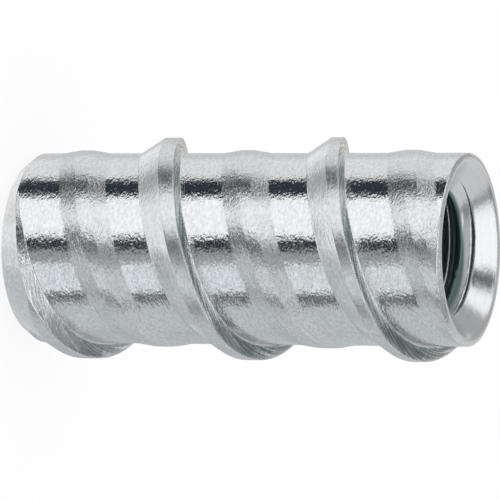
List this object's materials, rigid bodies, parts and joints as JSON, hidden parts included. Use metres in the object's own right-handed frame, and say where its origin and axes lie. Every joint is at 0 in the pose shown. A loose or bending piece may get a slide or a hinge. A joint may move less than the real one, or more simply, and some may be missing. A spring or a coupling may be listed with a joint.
{
  "type": "internal thread anchor",
  "caption": "Short round steel anchor with a coarse cutting thread outside and a blind tapped hole, screwed into a drilled hole in concrete to take a bolt or rod.",
  "frame": {"origin": "middle of the closed tip's flat face, on which the anchor stands", "axes": "+Z along the anchor's axis from the tip to the mouth of the tapped hole; X and Y across it"},
  "size_m": [0.0152, 0.0152, 0.0318],
  "materials": {
    "zinc_plated_steel": "bright zinc plating over rolled steel, with fine rolling marks"
  },
  "bodies": {
    "root": {"anchor_body": "zinc_plated_steel"}
  },
  "joints": []
}
